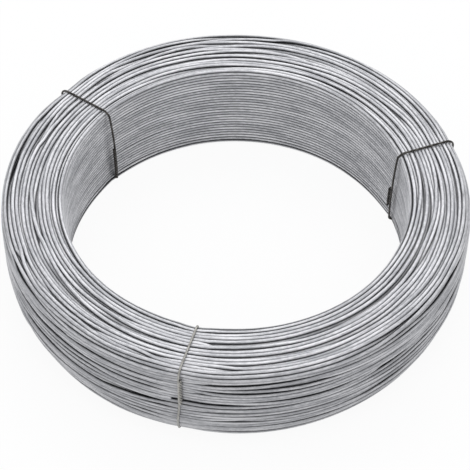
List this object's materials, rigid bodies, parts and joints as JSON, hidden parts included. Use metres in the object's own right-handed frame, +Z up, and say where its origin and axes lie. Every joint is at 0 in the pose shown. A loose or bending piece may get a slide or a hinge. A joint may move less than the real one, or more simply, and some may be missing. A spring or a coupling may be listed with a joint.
{
  "type": "coil of binding wire",
  "caption": "Coil of galvanised steel binding wire lying flat, wound in close turns round an open bore and held by twisted wire ties.",
  "frame": {"origin": "on the coil's axis at floor level, under the middle of the coil", "axes": "+Z up along the coil's axis, -Y towards the viewer in the picture, +X to the viewer's right; metres"},
  "size_m": [0.216, 0.216, 0.0507],
  "materials": {
    "galvanised_wire": "satin hot-dip zinc with fine mottling",
    "light_tie_wire": "satin galvanised",
    "dark_tie_wire": "black annealed, slightly worn"
  },
  "bodies": {
    "root": {"wire_coil": "galvanised_wire", "tie_front": "light_tie_wire", "tie_left": "dark_tie_wire", "tie_right": "dark_tie_wire"}
  },
  "joints": []
}
